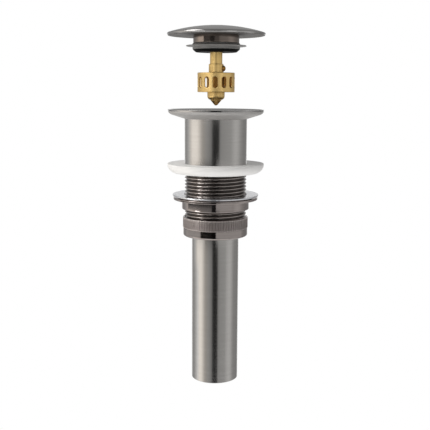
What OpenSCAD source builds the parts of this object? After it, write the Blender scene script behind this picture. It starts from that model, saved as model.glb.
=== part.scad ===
// Click type pop up basin waste with its stopper lifted out above the drain.
// Z = 0 is the basin's surface plane, in whose recess the flange's rim lies, and the common axis is Z.

/* [Flanged barrel] */
// Diameter of the flange
flange_d = 64.5; // [62:0.5:68]
// Height of the flange's rim above the basin's surface
rim_t = 1.8; // [1.6:0.1:2.4]
// Rounding under the flange's rim
rim_round = 3.5; // [2.5:0.1:4.5]
// Slope of the cone under the flange, in degrees
cone_a = 17.5; // [15:0.5:21]
// Diameter of the smooth barrel
barrel_d = 42; // [41.9:0.1:43]
// Wall of the smooth barrel around the upper bore
barrel_wall = 2.2; // [1.8:0.1:2.6]
// Depth of the thread's start below the basin's surface
thread_start = 35.8; // [34:0.1:38]
// Step in from the barrel to the crests of its thread (41.9 mm over crests is G 1 1/4)
thread_step = 0.05; // [0.05:0.05:0.2]
// Length of the threaded barrel
thread_h = 41.7; // [40:0.1:46]
// Wall of the threaded barrel around the lower bore
thread_wall = 3.35; // [3:0.05:3.6]

/* [Stopper bridge] */
// Outside diameter of the socket hub
hub_d = 16; // [15:0.5:18]
// Height of the socket hub
hub_h = 6.5; // [5.5:0.5:8]
// Number of arms
arm_count = 4; // [3:1:6]
// Width of an arm
arm_w = 2.6; // [2:0.1:3.2]
// Height of the arms and the outer ring
arm_h = 5; // [4:0.5:5.5]

/* [Stopper cartridge] */
// Gap between the lifted stopper's tip and the flange
lift_gap = 2.6; // [1:0.1:6]
// Height of the cone tip
tip_h = 3.85; // [3.4:0.05:4.6]
// Diameter of the cone tip
tip_d = 7.4; // [6:0.1:7.6]
// Diameter of the nose
nose_d = 11.6; // [11.2:0.1:12.4]
// Height of the nose's straight part
nose_h = 2.5; // [2.2:0.1:4]
// Height of the nose's rounded end
nose_round_h = 2.45; // [1.8:0.05:2.6]
// Outside diameter of the slotted cage
cage_d = 24.8; // [23:0.1:26]
// Height of the slotted cage
cage_h = 12.8; // [12.4:0.1:14]
// Wall of the slotted cage
cage_wall = 1; // [0.8:0.1:1.8]
// Thickness of the cage's floor
cage_floor = 2; // [1.6:0.1:2.4]
// Wall of the guide tube inside the cage
tube_wall = 0.6; // [0.5:0.05:0.8]
// Number of upright slots
slot_count = 13; // [9:1:15]
// Width of a slot
slot_w = 3.4; // [2.6:0.1:3.6]
// Height of a slot
slot_h = 7.3; // [6:0.1:8]
// Distance from the cage's underside to a slot's lower end
slot_up = 2.75; // [2.5:0.05:3.2]

/* [Click mechanism] */
// Stroke of the cap
press_travel = 8.5; // [7.5:0.1:9]
// Turn of the spindle over one stroke, in degrees
press_turn = 90; // [80:1:100]
// Diameter of the cam spindle
spindle_d = 5.3; // [5:0.1:5.6]
// Depth of the cam track
track_depth = 0.9; // [0.7:0.05:1]
// Diameter of the guide screw's pin
pin_d = 1.5; // [1.3:0.05:1.7]
// Wire of the return spring
wire_d = 0.8; // [0.6:0.05:0.9]
// Turns of the return spring
spring_turns = 7; // [6:1:7]
// Outside diameter of the sleeve
sleeve_d = 8.2; // [7.8:0.1:8.6]
// Outside diameter of the sleeve's collar
collar_d = 9.8; // [9.4:0.1:10.4]
// Height of the sleeve's collar
collar_h = 5.9; // [5.5:0.1:6.5]
// Depth of the collar's underside below the cage's top
collar_dip = 0.2; // [0.1:0.1:0.8]
// Bare length of the sleeve between collar and retainer
stem_h = 7.6; // [6.5:0.1:9]

/* [Stopper head] */
// Height of the tapered retainer
retainer_h = 1.8; // [1.5:0.1:2.4]
// Diameter of the retainer's lower end
retainer_d = 27.2; // [26:0.1:29]
// Diameter of the seal's body
seal_d = 31.4; // [30.8:0.1:32]
// Height of the seal's body
seal_h = 3.9; // [3.6:0.1:4.4]
// Reach of the seal's lip past the bore, on each side
lip_reach = 1.2; // [1.2:0.05:1.6]
// Diameter of the seal carrier
carrier_d = 30.5; // [30:0.1:31]
// Height of the seal carrier
carrier_h = 5.5; // [5:0.1:6]
// Diameter of the domed cap
cap_d = 65.1; // [62:0.1:68]
// Height of the domed cap from its rim's lower edge
cap_h = 6.6; // [6:0.1:8]

/* [Basin fixings] */
// Depth of the gasket's top below the basin's surface
gasket_depth = 34.3; // [31:0.1:34.5]
// Reach of the gasket past the flange's rim, on each side
gasket_reach = 0.3; // [0:0.1:2]
// Height of the gasket
gasket_h = 6.4; // [5.5:0.1:7]
// Width of the gasket's foot around its bore
gasket_foot_w = 5.3; // [4:0.1:6.5]
// Depth of the friction washer's top below the basin's surface
washer_depth = 55.2; // [52:0.1:56]
// Reach of the friction washer past the lock nut's flange
washer_reach = 0.5; // [0:0.1:2]
// Thickness of the friction washer
washer_t = 0.9; // [0.8:0.1:1.2]
// Reach of the lock nut's flange past its hub
lock_flange_w = 5.8; // [4:0.1:7]
// Wall of the lock nut's hub around its thread
lock_wall = 1.85; // [1.6:0.05:2.6]
// Height of the lock nut
lock_h = 8.8; // [8:0.1:9]

/* [Tail union] */
// Wall of the union nut around its thread
union_wall = 1.1; // [1:0.05:2]
// Height of the union nut
union_h = 13.1; // [12:0.1:13.6]
// Height of the union nut's knurled band
knurl_h = 7.3; // [6:0.1:8]
// Thickness of the union nut's inner lip
union_lip_t = 2.9; // [2:0.1:3.2]
// Thickness of the rubber tail washer
tail_washer_t = 2; // [1.6:0.1:2.4]
// Outside diameter of the tail
tail_d = 32; // [31.6:0.1:32]
// Wall of the tail
tail_wall = 1; // [0.8:0.1:1.2]
// Length of the tail
tail_l = 105.3; // [80:0.1:160]
// Thickness of the tail's flared end
flare_t = 1.2; // [1:0.1:1.4]

/* [Hidden] */
$fn = 96;

// Clearances
track_gap = 0.1;
slip_gap = 0.15;
thread_gap = 0.1;
press_gap = 0.02;
screw_gap = 0.05;
ring_gap = 0.3;
seat_gap = 0.1;
lip_gap = 0.35;

// Small edges, and how far a cutter runs past a face
thin_edge = 0.2;
edge = 0.3;
nut_edge = 0.6;
cut_over = 1;
arc_steps = 8;
dome_steps = 24;

// Flanged barrel
flange_r = flange_d / 2;
barrel_r = barrel_d / 2;
thread_r = barrel_r - thread_step;
bore_r = barrel_r - barrel_wall;
lower_bore_r = thread_r - thread_wall;
land_w = 1.35;
land_r = flange_r - land_w;
top_round = 0.1;
rim_round_z = rim_t - top_round;
cone_w = flange_r - rim_round * (1 - sin(cone_a)) - barrel_r;
cone_z = rim_round_z - rim_round * cos(cone_a) - cone_w * tan(cone_a);
funnel_a = 19.7;
funnel_round = 2;
funnel_corner_z = funnel_z(bore_r);
funnel_round_z = funnel_corner_z - funnel_round * tan((90 - funnel_a) / 2);
thread_z = -thread_start;
barrel_end_z = thread_z - thread_h;
thread_chamfer = 0.9;

// Height of the funnel's straight slope at radius r
function funnel_z(r) = rim_t - (land_r - r) * tan(funnel_a);

// Stopper heights in the lifted pose
tip_z = rim_t + lift_gap;
nose_z = tip_z + tip_h;
cage_z = nose_z + nose_round_h + nose_h;
cage_top_z = cage_z + cage_h;
collar_z = cage_top_z - collar_dip;
stem_z = collar_z + collar_h;
retainer_z = stem_z + stem_h;
seal_z = retainer_z + retainer_h;
carrier_z = seal_z + seal_h;
cap_seat_z = carrier_z + carrier_h;
screw_z = collar_z + collar_h / 2;

// Seal and its seat
lip_r = bore_r + lip_reach;
lip_root_t = 1.4;
lip_tip_t = 0.5;
lip_up = 2.26;
lip_z = seal_z + lip_up;
lip_under_z = lip_z - lip_tip_t / 2;
closed_drop = lip_under_z - funnel_z(lip_r) - lip_gap;
lift_travel = closed_drop - press_travel;
seal_bore_r = 8.1;

// Bridge, placed so that the closed seal just meets the funnel
nose_r = nose_d / 2;
bridge_z = cage_z - lift_travel - seat_gap;
step_z = bridge_z - hub_h;
ring_inside = 0.4;
ring_t = bore_r - lower_bore_r + ring_inside;

// Cartridge
cage_r = cage_d / 2;
nose_shoulder = 0.6;
spigot_r = nose_r - nose_shoulder;
well_wall = 0.75;
well_r = spigot_r - well_wall;
nose_round_w = 2;
nose_end_r = nose_r - nose_round_w;
nose_floor = 2.2;
well_z = nose_z + nose_floor;
journal_r = 1.6;
tip_gap = 0.05;
tip_land = 0.3;
tip_point_r = 1.4;
tip_hole = 2.2;
slot_turn = -92.4;

// Click mechanism
spindle_r = spindle_d / 2;
sleeve_bore_r = spindle_r + slip_gap;
spindle_top_z = stem_z - edge;
sleeve_bore_top_z = spindle_top_z + press_travel + edge;
stud_r = 2.5;
stud_up = 2.9;
stud_hole_up = 3;
stud_down = 6.3;
stud_hole_down = 7;
screw_a = -15;
screw_shank_r = 1.1;
head_r = 2.1;
head_up = 1.85;
head_arc = 60;
spot_depth = 0.5;
spot_x = collar_d / 2 - spot_depth;
socket_r = 0.9;
socket_depth = 0.8;
pin_x = spindle_r - track_depth + track_gap;

// Cam track around the spindle, as a height for each angle behind the pin
track_half = pin_d / 2 + track_gap;
track_low_z = screw_z - press_travel;
latch_rise = 0.6;
latch_turn = 50;
latch_z = track_low_z + latch_rise;
latch_a = press_turn + latch_turn;
track_slope = press_travel / (press_turn * PI / 180 * pin_x);
track_rise = track_half * sqrt(1 + track_slope * track_slope);
roof_turn = 15;
track_steps = 90;
track_path = [
    [0, screw_z],
    [press_turn, track_low_z],
    [latch_a, latch_z],
    [2 * latch_a - press_turn, track_low_z],
    [2 * latch_a, screw_z],
    [360, screw_z]
];
track_roof = [
    [0, screw_z],
    [press_turn + roof_turn - 1, screw_z],
    [press_turn + roof_turn, latch_z],
    [2 * latch_a - press_turn - roof_turn, latch_z],
    [2 * latch_a - press_turn - roof_turn + 1, screw_z],
    [360, screw_z]
];

// Guide tube inside the cage, with a keyway for the guide screw's head
tube_bore_r = collar_d / 2 + ring_gap;
tube_r = tube_bore_r + tube_wall;
keyway_w = 2 * (head_r + ring_gap);
keyway_z = screw_z - press_travel - head_r - ring_gap;

// Return spring
spring_mean_r = well_r - ring_gap - wire_d / 2;
spring_sides = 8;
spring_ring_steps = 16;
coil_gap = 0.02;
spring_end_pitch = wire_d + coil_gap;

// Cap
cap_relief = 0.5;
cap_rim_z = cap_seat_z - cap_relief;
cap_rim_round = 1;
cap_rim_r = cap_d / 2 - cap_rim_round;
cap_rim_mid_z = cap_rim_z + cap_rim_round;
cap_apex_z = cap_rim_z + cap_h;
dome_low_z = cap_apex_z - cap_rim_round;
dome_rise = dome_low_z - cap_rim_mid_z;
dome_mid_z = (pow(dome_low_z, 2) - pow(cap_rim_mid_z, 2) - pow(cap_rim_r, 2)) / (2 * dome_rise);
dome_r = cap_apex_z - dome_mid_z;
dome_a = atan2(cap_rim_r, cap_rim_mid_z - dome_mid_z);
cap_relief_w = 2.6;

// Basin fixings
gasket_z = -gasket_depth;
gasket_r = flange_r + gasket_reach;
gasket_bore_r = barrel_r + ring_gap;
gasket_rim_t = 0.6;
gasket_foot_r = gasket_bore_r + gasket_foot_w;
washer_z = -washer_depth;
lock_z = washer_z - washer_t - ring_gap;
lock_flange_t = 1.6;
lock_boss_h = 0.6;
lock_boss_w = 4;
nut_bore_r = thread_r + thread_gap;
lock_hub_r = nut_bore_r + lock_wall;
lock_flange_r = lock_hub_r + lock_flange_w;
washer_r = lock_flange_r + washer_reach;

// Tail union
tail_r = tail_d / 2;
tail_z = barrel_end_z - tail_washer_t;
neck_t = 0.3;
neck_show = 0.5;
tail_neck_r = tail_r + neck_t;
union_floor_z = tail_z - flare_t;
union_z = union_floor_z - union_lip_t;
union_top_z = union_z + union_h;
union_r = nut_bore_r + union_wall;
union_taper = 0.1;
knurl_groove = 0.25;
neck_z = union_z - neck_show;
flare_r = nut_bore_r - ring_gap;

// Points of an arc about (x, y) from angle a to angle b
function arc(x, y, r, a, b, steps = arc_steps) =
    [for (i = [0:steps]) let (t = a + (b - a) * i / steps) [x + r * cos(t), y + r * sin(t)]];

// Solid turned about Z from an outline of [radius, height] points
module turned(outline) {
    rotate_extrude()
        polygon(outline);
}

// Flat ring with chamfered outer edges
module ring(r_in, r_out, z_low, z_top, chamfer = edge) {
    turned([
        [r_in, z_low],
        [r_out - chamfer, z_low],
        [r_out, z_low + chamfer],
        [r_out, z_top - chamfer],
        [r_out - chamfer, z_top],
        [r_in, z_top]
    ]);
}

// Closed tube swept through rings of points, capped at both ends or joined into a loop
module swept(rings, loop = false) {
    n = len(rings);
    m = len(rings[0]);
    last = loop ? n - 1 : n - 2;
    sides = [
        for (i = [0:last]) for (j = [0:m - 1])
            let (k = (i + 1) % n, l = (j + 1) % m)
            each [[i * m + j, i * m + l, k * m + l], [i * m + j, k * m + l, k * m + j]]
    ];
    caps = loop ? [] : [[for (j = [m - 1:-1:0]) j], [for (j = [0:m - 1]) (n - 1) * m + j]];
    polyhedron([for (one = rings) each one], concat(sides, caps), convexity = 10);
}

module drain_body() {
    color("silver")
        turned(concat(
            [[land_r, rim_t]],
            arc(flange_r - top_round, rim_t - top_round, top_round, 90, 0),
            arc(flange_r - rim_round, rim_round_z, rim_round, 0, -90 + cone_a),
            [
                [barrel_r, cone_z],
                [barrel_r, thread_z],
                [thread_r, thread_z],
                [thread_r, barrel_end_z + thread_chamfer],
                [thread_r - thread_chamfer, barrel_end_z],
                [lower_bore_r, barrel_end_z],
                [lower_bore_r, step_z],
                [bore_r, step_z]
            ],
            arc(bore_r + funnel_round, funnel_round_z, funnel_round, 180, 90 + funnel_a)
        ));
}

module stopper_bridge() {
    socket_r = nose_r + slip_gap;
    ring_out_r = bore_r - press_gap;
    ring_in_r = ring_out_r - ring_t;
    color("darkgoldenrod")
        difference() {
            union() {
                translate([0, 0, step_z])
                    cylinder(r = hub_d / 2, h = hub_h);
                ring(ring_in_r, ring_out_r, step_z, step_z + arm_h);
                for (i = [0:arm_count - 1])
                    rotate([0, 0, i * 360 / arm_count])
                        translate([socket_r, -arm_w / 2, step_z])
                            cube([ring_in_r - socket_r + ring_t / 2, arm_w, arm_h]);
            }
            translate([0, 0, step_z - cut_over])
                cylinder(r = socket_r, h = hub_h + 2 * cut_over);
            translate([0, 0, bridge_z - edge])
                cylinder(r1 = socket_r, r2 = socket_r + 2 * edge, h = 2 * edge);
        }
}

module basin_gasket() {
    foot_z = gasket_z - gasket_h;
    flank_h = gasket_h - gasket_rim_t;
    flank_w = gasket_r - gasket_foot_r;
    color("ivory")
        turned(concat(
            [
                [gasket_bore_r, gasket_z],
                [gasket_r - thin_edge, gasket_z],
                [gasket_r, gasket_z - thin_edge]
            ],
            [for (i = [0:arc_steps]) let (t = 90 * (1 - i / arc_steps))
                [gasket_foot_r + flank_w * sin(t), foot_z + flank_h * (1 - cos(t))]],
            [[gasket_bore_r, foot_z]]
        ));
}

module friction_washer() {
    color("whitesmoke")
        ring(barrel_r + ring_gap, washer_r, washer_z - washer_t, washer_z, thin_edge);
}

module lock_nut() {
    low_z = lock_z - lock_h;
    boss_r = nut_bore_r + lock_boss_w;
    flange_z = lock_z - lock_boss_h;
    flange_low_z = flange_z - lock_flange_t;
    color("dimgray")
        turned([
            [nut_bore_r, lock_z],
            [boss_r, lock_z],
            [boss_r, flange_z],
            [lock_flange_r - edge, flange_z],
            [lock_flange_r, flange_z - edge],
            [lock_flange_r, flange_low_z + edge],
            [lock_flange_r - edge, flange_low_z],
            [lock_hub_r, flange_low_z],
            [lock_hub_r, low_z + nut_edge],
            [lock_hub_r - nut_edge, low_z],
            [nut_bore_r + nut_edge, low_z],
            [nut_bore_r, low_z + nut_edge]
        ]);
}

module union_nut() {
    band_z = union_top_z - knurl_h;
    color("dimgray")
        turned([
            [nut_bore_r + nut_edge / 2, union_top_z],
            [union_r - nut_edge, union_top_z],
            [union_r, union_top_z - nut_edge],
            [union_r, band_z],
            [union_r - knurl_groove, band_z - knurl_groove],
            [union_r - union_taper, union_z + 2 * nut_edge],
            [union_r - union_taper - 2 * nut_edge, union_z],
            [tail_neck_r + slip_gap, union_z],
            [tail_neck_r + slip_gap, union_floor_z],
            [nut_bore_r, union_floor_z],
            [nut_bore_r, union_top_z - nut_edge / 2]
        ]);
}

module tail_washer() {
    color("black")
        ring(tail_r - tail_wall, flare_r, tail_z, barrel_end_z, thin_edge);
}

module tailpiece() {
    end_z = tail_z - tail_l;
    bore = tail_r - tail_wall;
    color("silver")
        turned([
            [bore, tail_z],
            [flare_r, tail_z],
            [flare_r, union_floor_z],
            [tail_neck_r, union_floor_z],
            [tail_neck_r, neck_z + edge],
            [tail_r, neck_z],
            [tail_r, end_z + edge],
            [tail_r - edge, end_z],
            [bore, end_z]
        ]);
}

// One upright slot with round ends, cut outward along X
module slot() {
    start_x = cage_r - cage_wall - cut_over;
    for (z = [slot_w / 2, slot_h - slot_w / 2])
        translate([start_x, 0, cage_z + slot_up + z])
            rotate([0, 90, 0])
                cylinder(d = slot_w, h = cage_r, $fn = 48);
    translate([start_x, -slot_w / 2, cage_z + slot_up + slot_w / 2])
        cube([cage_r, slot_w, slot_h - slot_w]);
}

module slotted_cage() {
    inner_r = cage_r - cage_wall;
    floor_z = cage_z + cage_floor;
    color("goldenrod")
        difference() {
            turned([
                [spigot_r + press_gap, cage_z],
                [cage_r - edge, cage_z],
                [cage_r, cage_z + edge],
                [cage_r, cage_top_z - edge],
                [cage_r - edge, cage_top_z],
                [inner_r, cage_top_z],
                [inner_r, floor_z],
                [tube_r, floor_z],
                [tube_r, cage_top_z],
                [tube_bore_r, cage_top_z],
                [tube_bore_r, floor_z],
                [spigot_r + press_gap, floor_z]
            ]);
            for (i = [0:slot_count - 1])
                rotate([0, 0, slot_turn + i * 360 / slot_count])
                    slot();
            rotate([0, 0, screw_a])
                translate([0, -keyway_w / 2, keyway_z])
                    cube([tube_r + cut_over, keyway_w, cage_top_z - keyway_z + cut_over]);
        }
}

module nose_plug() {
    round_z = nose_z + nose_round_h;
    color("goldenrod")
        turned(concat(
            [
                [journal_r + slip_gap, nose_z],
                [nose_end_r, nose_z]
            ],
            [for (i = [1:arc_steps]) let (t = 90 * i / arc_steps)
                [nose_end_r + (nose_r - nose_end_r) * sin(t), round_z - nose_round_h * cos(t)]],
            [
                [nose_r, cage_z],
                [spigot_r, cage_z],
                [spigot_r, cage_z + cage_floor],
                [well_r, cage_z + cage_floor],
                [well_r, well_z],
                [journal_r + slip_gap, well_z]
            ]
        ));
}

// Ring of points around the spring's wire after a number of turns
function wire_ring(turns, height) = [
    for (j = [0:spring_sides - 1])
        let (t = 360 * j / spring_sides, r = spring_mean_r + wire_d / 2 * cos(t))
        [r * cos(360 * turns), r * sin(360 * turns), height + wire_d / 2 * sin(t)]
];

module return_spring() {
    low = well_z + wire_d / 2;
    high = collar_z - wire_d / 2;
    rise = [
        [0, low],
        [1, low + spring_end_pitch],
        [spring_turns - 1, high - spring_end_pitch],
        [spring_turns, high]
    ];
    count = spring_turns * spring_ring_steps;
    color("lightgray")
        swept([for (i = [0:count]) let (t = i / spring_ring_steps) wire_ring(t, lookup(t, rise))]);
}

// Corner points of the cam track's cutter at an angle behind the pin
function track_ring(a) =
    let (
        mid = lookup(a, track_path),
        high = min(mid + track_rise, lookup(a, track_roof) + track_half),
        low = max(mid - track_rise, track_low_z - track_half),
        t = screw_a + a,
        r_in = spindle_r - track_depth,
        r_out = spindle_r + edge
    )
    [
        for (p = [[r_in, low], [r_out, low], [r_out, high], [r_in, high]])
            [p[0] * cos(t), p[0] * sin(t), p[1]]
    ];

module cam_spindle() {
    color("gold")
        difference() {
            turned([
                [0, nose_z - tip_gap - tip_hole],
                [journal_r, nose_z - tip_gap - tip_hole],
                [journal_r, well_z + tip_gap],
                [spindle_r, well_z + tip_gap],
                [spindle_r, spindle_top_z - edge],
                [spindle_r - edge, spindle_top_z],
                [0, spindle_top_z]
            ]);
            swept([for (i = [0:track_steps - 1]) track_ring(360 * i / track_steps)], loop = true);
        }
}

module cone_tip() {
    top_z = nose_z - tip_gap;
    slope_a = atan2(top_z - tip_land - tip_z, tip_d / 2);
    color("darkgoldenrod")
        turned(concat(
            [[0, top_z - tip_hole]],
            arc(0, tip_z + tip_point_r, tip_point_r, -90, slope_a - 90),
            [
                [tip_d / 2, top_z - tip_land],
                [tip_d / 2, top_z],
                [journal_r + screw_gap, top_z],
                [journal_r + screw_gap, top_z - tip_hole]
            ]
        ));
}

module plunger_sleeve() {
    color("goldenrod")
        difference() {
            turned([
                [sleeve_bore_r, collar_z],
                [collar_d / 2 - edge, collar_z],
                [collar_d / 2, collar_z + edge],
                [collar_d / 2, stem_z - edge],
                [collar_d / 2 - edge, stem_z],
                [sleeve_d / 2, stem_z],
                [sleeve_d / 2, cap_seat_z],
                [stud_r + screw_gap, cap_seat_z],
                [stud_r + screw_gap, cap_seat_z - stud_hole_down],
                [0, cap_seat_z - stud_hole_down],
                [0, sleeve_bore_top_z],
                [sleeve_bore_r, sleeve_bore_top_z]
            ]);
            rotate([0, 0, screw_a])
                translate([0, 0, screw_z])
                    rotate([0, 90, 0]) {
                        cylinder(r = screw_shank_r + screw_gap, h = collar_d);
                        translate([0, 0, spot_x])
                            cylinder(r = head_r + slip_gap, h = collar_d);
                    }
        }
}

module guide_screw() {
    head_top_x = spot_x + head_up;
    color("goldenrod")
        rotate([0, 0, screw_a])
            translate([0, 0, screw_z])
                rotate([0, 90, 0])
                    turned(concat(
                        [
                            [0, pin_x],
                            [pin_d / 2, pin_x],
                            [pin_d / 2, sleeve_bore_r + slip_gap],
                            [screw_shank_r, sleeve_bore_r + slip_gap],
                            [screw_shank_r, spot_x],
                            [head_r, spot_x]
                        ],
                        [for (i = [1:arc_steps]) let (t = head_arc * i / arc_steps)
                            [head_r * cos(t), spot_x + head_up * sin(t) / sin(head_arc)]],
                        [
                            [socket_r, head_top_x],
                            [socket_r, head_top_x - socket_depth],
                            [0, head_top_x - socket_depth]
                        ]
                    ));
}

module seal_retainer() {
    color("black")
        turned([
            [sleeve_d / 2 + screw_gap, retainer_z],
            [retainer_d / 2, retainer_z],
            [seal_d / 2, seal_z],
            [seal_bore_r - slip_gap, seal_z],
            [seal_bore_r - slip_gap, carrier_z],
            [sleeve_d / 2 + screw_gap, carrier_z]
        ]);
}

module lip_seal() {
    color("darkslategray")
        turned([
            [seal_bore_r, seal_z],
            [seal_d / 2, seal_z],
            [seal_d / 2, lip_z - lip_root_t / 2],
            [lip_r, lip_under_z],
            [lip_r, lip_under_z + lip_tip_t],
            [seal_d / 2, lip_z + lip_root_t / 2],
            [seal_d / 2, carrier_z],
            [seal_bore_r, carrier_z]
        ]);
}

module seal_carrier() {
    web_t = 1.8;
    wall = 2;
    hub_wall = 2;
    bore = sleeve_d / 2 + screw_gap;
    color("gray")
        turned([
            [bore, carrier_z],
            [carrier_d / 2 - edge, carrier_z],
            [carrier_d / 2, carrier_z + edge],
            [carrier_d / 2, cap_seat_z],
            [carrier_d / 2 - wall, cap_seat_z],
            [carrier_d / 2 - wall, carrier_z + web_t],
            [bore + hub_wall, carrier_z + web_t],
            [bore + hub_wall, cap_seat_z],
            [bore, cap_seat_z]
        ]);
}

module cap_stud() {
    color("gray")
        translate([0, 0, cap_seat_z - stud_down])
            cylinder(r = stud_r, h = stud_down + stud_up);
}

module stopper_cap() {
    color("silver")
        turned(concat(
            [
                [stud_r + screw_gap, cap_seat_z],
                [cap_rim_r - cap_relief_w, cap_seat_z]
            ],
            arc(cap_rim_r, cap_rim_mid_z, cap_rim_round, -90, 90 - dome_a),
            [for (i = [1:dome_steps]) let (t = dome_a * (1 - i / dome_steps))
                [dome_r * sin(t), dome_mid_z + dome_r * cos(t)]],
            [
                [0, cap_seat_z + stud_hole_up],
                [stud_r + screw_gap, cap_seat_z + stud_hole_up]
            ]
        ));
}

drain_body();
stopper_bridge();
basin_gasket();
friction_washer();
lock_nut();
union_nut();
tail_washer();
tailpiece();
slotted_cage();
nose_plug();
return_spring();
cam_spindle();
cone_tip();
plunger_sleeve();
guide_screw();
seal_retainer();
lip_seal();
seal_carrier();
cap_stud();
stopper_cap();
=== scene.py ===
import bpy
import bmesh
import math
import numpy as np
from mathutils import Matrix, Vector


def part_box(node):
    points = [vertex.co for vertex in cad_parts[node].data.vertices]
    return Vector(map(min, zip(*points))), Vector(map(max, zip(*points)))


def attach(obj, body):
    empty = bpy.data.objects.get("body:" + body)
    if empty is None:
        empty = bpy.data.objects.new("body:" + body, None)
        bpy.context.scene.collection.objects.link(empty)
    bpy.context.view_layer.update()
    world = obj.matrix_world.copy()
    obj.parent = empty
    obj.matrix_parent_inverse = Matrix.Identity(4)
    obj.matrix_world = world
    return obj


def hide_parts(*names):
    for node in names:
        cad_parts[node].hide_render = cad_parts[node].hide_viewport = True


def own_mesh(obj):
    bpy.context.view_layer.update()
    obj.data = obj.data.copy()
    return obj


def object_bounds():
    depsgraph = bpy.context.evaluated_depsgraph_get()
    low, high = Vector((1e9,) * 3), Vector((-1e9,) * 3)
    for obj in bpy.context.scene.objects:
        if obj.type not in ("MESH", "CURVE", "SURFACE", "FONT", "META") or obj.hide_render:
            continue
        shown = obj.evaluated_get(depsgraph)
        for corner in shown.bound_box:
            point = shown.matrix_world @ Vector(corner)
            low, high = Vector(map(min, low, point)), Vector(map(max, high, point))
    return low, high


# Pop up basin waste with its stopper lifted out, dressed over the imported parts.
# Outlines are in millimetres as (radius, height), and every mesh is in metres about the Z axis.

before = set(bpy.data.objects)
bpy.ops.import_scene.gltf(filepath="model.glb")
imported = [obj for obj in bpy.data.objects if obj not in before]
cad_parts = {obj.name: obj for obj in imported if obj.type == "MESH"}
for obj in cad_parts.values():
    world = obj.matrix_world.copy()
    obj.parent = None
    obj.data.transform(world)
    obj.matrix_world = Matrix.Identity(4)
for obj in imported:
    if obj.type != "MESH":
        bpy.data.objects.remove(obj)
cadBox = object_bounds()
mm = 0.001
turnColumns, fineColumns = 192, 256  # faces round a small and a large turned piece
print("frame: loaded", len(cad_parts), "nodes")


# helpers for turned pieces

def reach(node):
    low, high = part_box(node)
    return high[0] / mm, low[2] / mm, high[2] / mm  # outer radius, lowest and highest height in mm


def arcPoints(x, y, radius, start, end, steps):
    # points on a circle about (x, y), from start to end in degrees
    turn = np.radians(np.linspace(start, end, steps + 1))
    return np.column_stack([x + radius * np.cos(turn), y + radius * np.sin(turn)])


rounding = {"steps": 5, "hold": 0.05, "fullHold": 0.2, "mostCut": 0.45, "straight": 1.55}


def softOutline(corners):
    # closed outline whose corners (radius, height, rounding) become tangent arcs, with a holding point
    # close to each arc's ends, so that the flats between them shade flat
    spots = np.array([c[:2] for c in corners], float)
    rounds = np.array([c[2] if len(c) > 2 else 0 for c in corners], float)
    toLast = np.roll(spots, 1, axis=0) - spots
    toNext = np.roll(spots, -1, axis=0) - spots
    lastLength = np.linalg.norm(toLast, axis=1)
    nextLength = np.linalg.norm(toNext, axis=1)
    a = toLast / lastLength[:, None]
    b = toNext / nextLength[:, None]
    half = np.arccos(np.clip((a * b).sum(axis=1), -1, 1)) / 2  # half the angle inside the corner
    cut = np.minimum(rounds / np.tan(half), rounding["mostCut"] * np.minimum(lastLength, nextLength))
    out = []
    for i in range(len(corners)):
        if rounds[i] <= 0 or half[i] > rounding["straight"]:
            out.append(spots[i][None])
            continue
        start, end = spots[i] + a[i] * cut[i], spots[i] + b[i] * cut[i]
        middle = a[i] + b[i]
        centre = spots[i] + middle / np.linalg.norm(middle) * cut[i] / np.cos(half[i])
        t = np.linspace(0, 1, rounding["steps"] + 1)[:, None]
        sweep = np.pi - 2 * half[i]
        ray = (np.sin((1 - t) * sweep) * (start - centre) + np.sin(t * sweep) * (end - centre)) / np.sin(sweep)
        room = rounding["hold"] * min(1, cut[i] / rounding["fullHold"])
        out += [(start + a[i] * room)[None], centre + ray, (end + b[i] * room)[None]]
    return np.vstack(out)


def isClockwise(outline):
    # sign of the outline's area
    r, z = outline[:, 0], outline[:, 1]
    return (r * np.roll(z, -1) - np.roll(r, -1) * z).sum() < 0


def gridFaces(rows, columns, closeRows, closeColumns):
    # four corners of every cell of a grid, wrapping where it closes
    i = np.arange(rows if closeRows else rows - 1)[:, None]
    j = np.arange(columns if closeColumns else columns - 1)[None, :]
    nextI, nextJ = (i + 1) % rows, (j + 1) % columns
    return np.stack(np.broadcast_arrays(i * columns + j, i * columns + nextJ,
                                        nextI * columns + nextJ, nextI * columns + j), axis=-1).reshape(-1, 4)


weldGap = 1e-7  # metres within which points are one


def makePiece(name, points, faces, materials, body, nodes, faceMaterial=None, sharp=32):
    # mesh from whole arrays, doubles merged so that poles and seams close, shaded smooth but for sharp edges
    mesh = bpy.data.meshes.new(name)
    mesh.vertices.add(len(points))
    mesh.vertices.foreach_set("co", (points * mm).astype(np.float32).ravel())
    mesh.loops.add(faces.size)
    mesh.loops.foreach_set("vertex_index", faces.astype(np.int32).ravel())
    mesh.polygons.add(len(faces))
    mesh.polygons.foreach_set("loop_start", np.arange(0, faces.size, 4, dtype=np.int32))
    if faceMaterial is not None:
        mesh.polygons.foreach_set("material_index", faceMaterial.astype(np.int32))
    mesh.update(calc_edges=True)
    work = bmesh.new()
    work.from_mesh(mesh)
    bmesh.ops.remove_doubles(work, verts=work.verts, dist=weldGap)
    work.to_mesh(mesh)
    work.free()
    mesh.validate()
    mesh.shade_smooth()
    mesh.set_sharp_from_angle(angle=math.radians(sharp))
    piece = bpy.data.objects.new(name, mesh)
    bpy.context.scene.collection.objects.link(piece)
    for material in materials:
        mesh.materials.append(material)
    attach(piece, body)
    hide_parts(*nodes)
    print(name + ":", len(mesh.polygons), "faces")
    return piece


def turnGrid(outline, columns):
    # point grid of an outline turned about Z: (r cos a, r sin a, z)
    turn = np.linspace(0, 2 * np.pi, columns, endpoint=False)
    r, z = outline[:, :1], outline[:, 1:]
    return np.stack(np.broadcast_arrays(r * np.cos(turn), r * np.sin(turn), z), axis=-1)


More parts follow.
